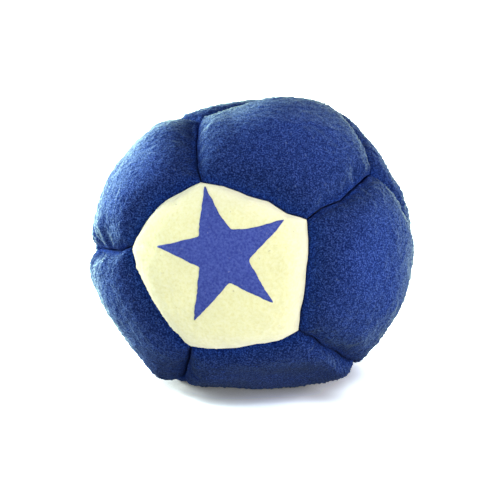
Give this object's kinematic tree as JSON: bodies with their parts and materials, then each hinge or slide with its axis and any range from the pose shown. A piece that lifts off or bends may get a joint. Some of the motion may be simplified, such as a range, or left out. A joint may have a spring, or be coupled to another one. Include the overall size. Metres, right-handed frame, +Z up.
{
  "type": "footbag",
  "caption": "Slack pellet-filled suede footbag of five-sided panels, one of them pale with a printed star, at rest on its side.",
  "frame": {"origin": "centre of the bounding box's base, on the ground the bag rests on", "axes": "+Z up, -Y towards the viewer that the starred panel faces, +X to that viewer's right"},
  "size_m": [0.0546, 0.057, 0.0493],
  "materials": {
    "suede_blue": "napped",
    "suede_pale": "napped",
    "star_ink": "matte print",
    "thread": "spun",
    "pellets": "smooth"
  },
  "bodies": {
    "root": {"panel_star": "suede_pale", "panel_upper_left": "suede_blue", "panel_lower_left": "suede_blue", "panel_bottom": "suede_blue", "panel_right": "suede_blue", "panel_top": "suede_blue", "panel_far_top": "suede_blue", "panel_far_left": "suede_blue", "panel_far_lower_left": "suede_blue", "panel_far_lower_right": "suede_blue", "panel_far_right": "suede_blue", "panel_back": "suede_blue", "thread_star_upper_left": "thread", "thread_star_lower_left": "thread", "thread_star_bottom": "thread", "thread_star_right": "thread", "thread_star_top": "thread", "thread_upper_left_lower_left": "thread", "thread_upper_left_top": "thread", "thread_upper_left_far_top": "thread", "thread_upper_left_far_left": "thread", "thread_lower_left_bottom": "thread", "thread_lower_left_far_left": "thread", "thread_lower_left_far_lower_left": "thread", "thread_bottom_right": "thread", "thread_bottom_far_lower_left": "thread", "thread_bottom_far_lower_right": "thread", "thread_right_top": "thread", "thread_right_far_lower_right": "thread", "thread_right_far_right": "thread", "thread_top_far_top": "thread", "thread_top_far_right": "thread", "thread_far_top_far_left": "thread", "thread_far_top_far_right": "thread", "thread_far_top_back": "thread", "thread_far_left_far_lower_left": "thread", "thread_far_left_back": "thread", "thread_far_lower_left_far_lower_right": "thread", "thread_far_lower_left_back": "thread", "thread_far_lower_right_far_right": "thread", "thread_far_lower_right_back": "thread", "thread_far_right_back": "thread", "star_print": "star_ink", "pellet_fill": "pellets"}
  },
  "joints": []
}
